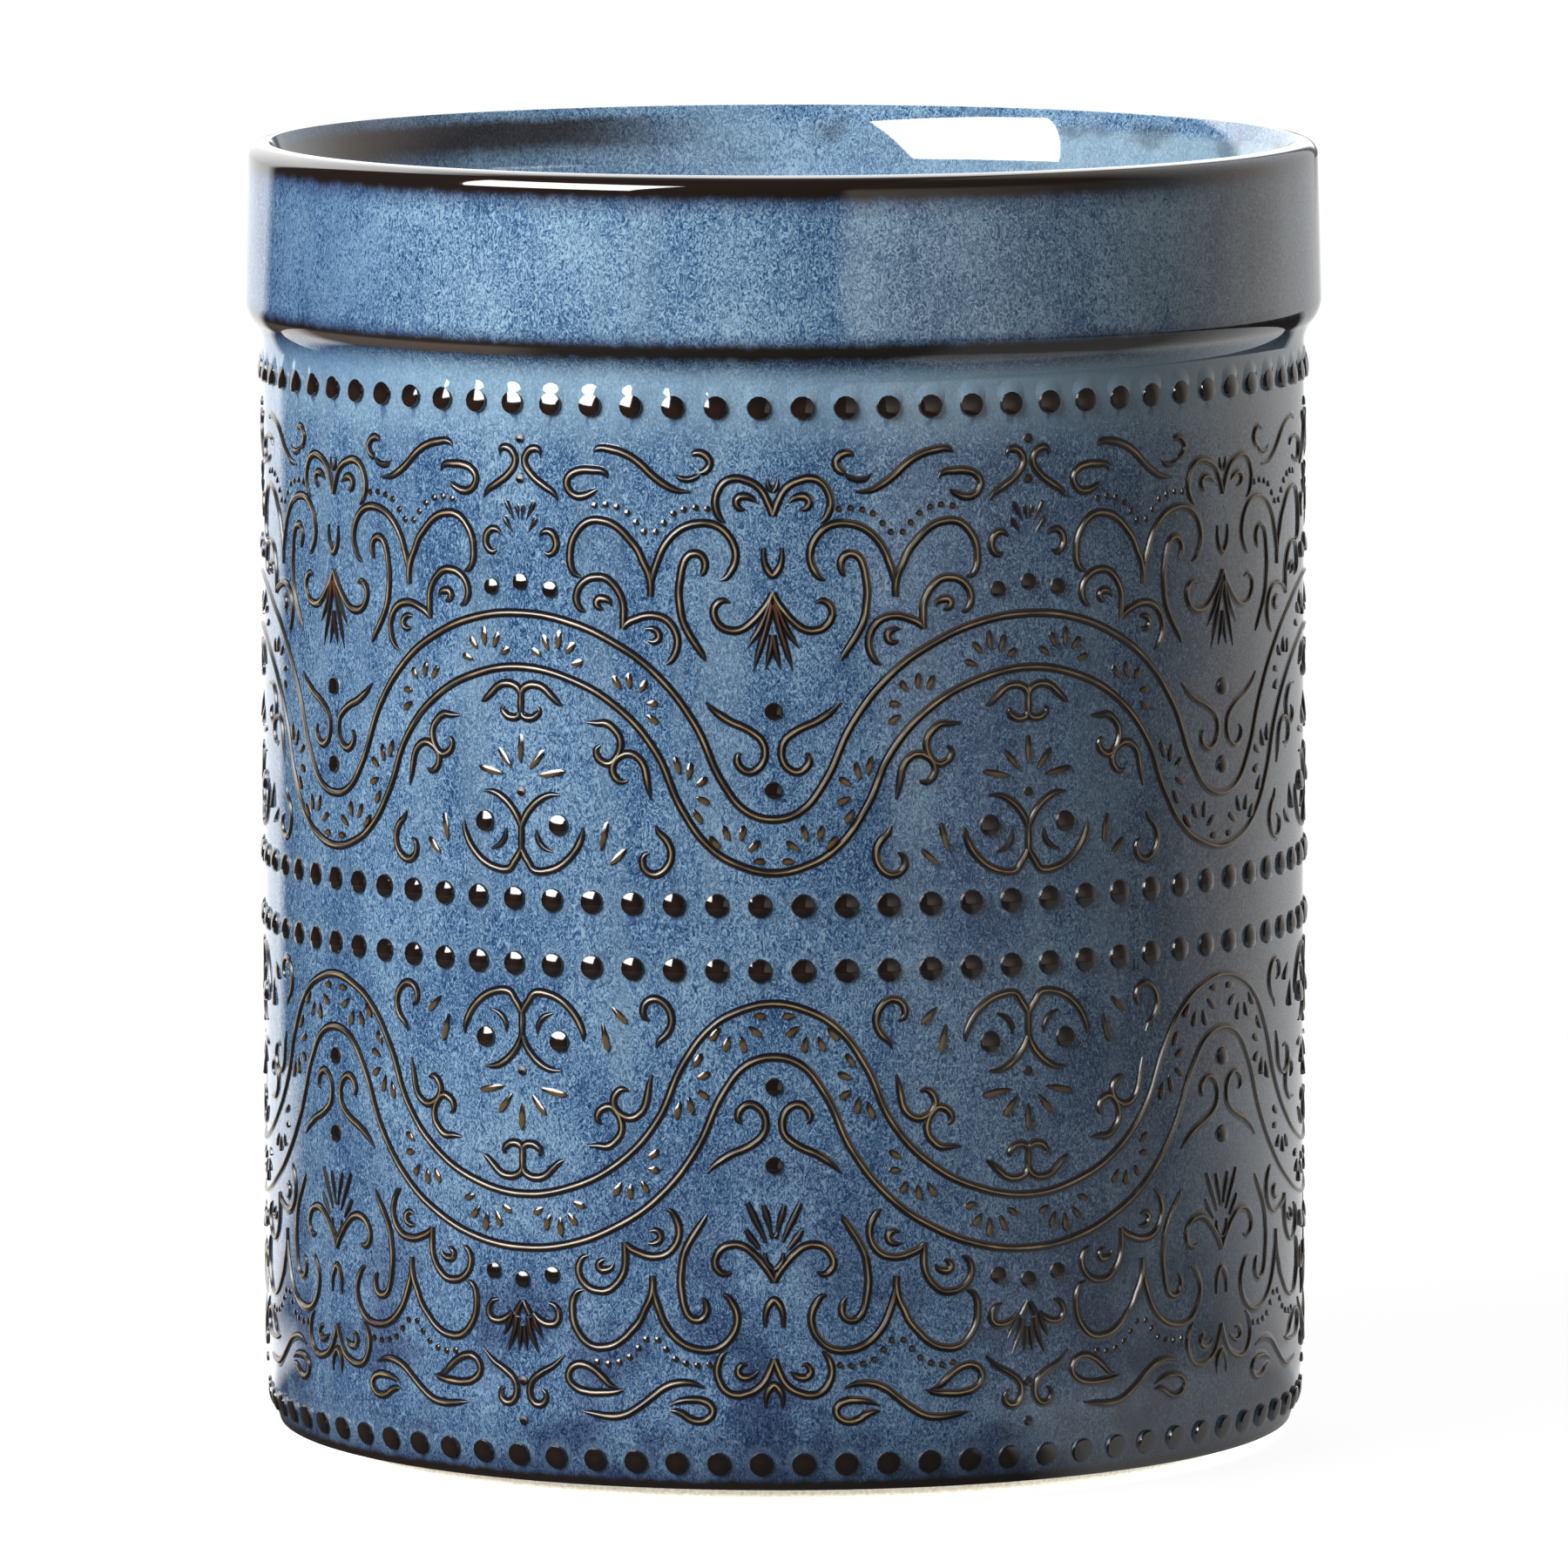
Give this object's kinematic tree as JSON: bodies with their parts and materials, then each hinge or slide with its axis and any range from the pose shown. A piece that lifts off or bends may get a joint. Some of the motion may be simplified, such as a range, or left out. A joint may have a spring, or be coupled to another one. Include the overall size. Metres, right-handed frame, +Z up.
{
  "type": "utensil crock",
  "caption": "Straight-sided stoneware utensil crock with a heavy rounded collar, bead rows and raised wave and scroll ornament under a blue glaze that breaks brown on the edges.",
  "frame": {"origin": "centre of the foot ring's underside, on the surface the crock stands on", "axes": "+Z up along the crock's axis, -Y towards the front, where a trough of the upper waves stands"},
  "size_m": [0.1524, 0.1524, 0.184],
  "materials": {
    "blue_glaze": "glossy mottled reactive glaze",
    "dark_glaze": "glossy dark brown where the glaze breaks",
    "bronze_glaze": "glossy bronze where the glaze thins on raised lines",
    "bare_stoneware": "unglazed matt stoneware"
  },
  "bodies": {
    "root": {"base_ring": "blue_glaze", "wall": "blue_glaze", "rim_collar": "blue_glaze", "floor_slab": "blue_glaze", "foot_ring": "bare_stoneware", "collar_bead_row": "dark_glaze", "upper_middle_bead_row": "dark_glaze", "lower_middle_bead_row": "dark_glaze", "base_bead_row": "dark_glaze", "upper_outer_wave_line": "bronze_glaze", "upper_inner_wave_line": "bronze_glaze", "upper_studs": "dark_glaze", "lower_outer_wave_line": "bronze_glaze", "lower_inner_wave_line": "bronze_glaze", "lower_studs": "dark_glaze"}
  },
  "joints": []
}
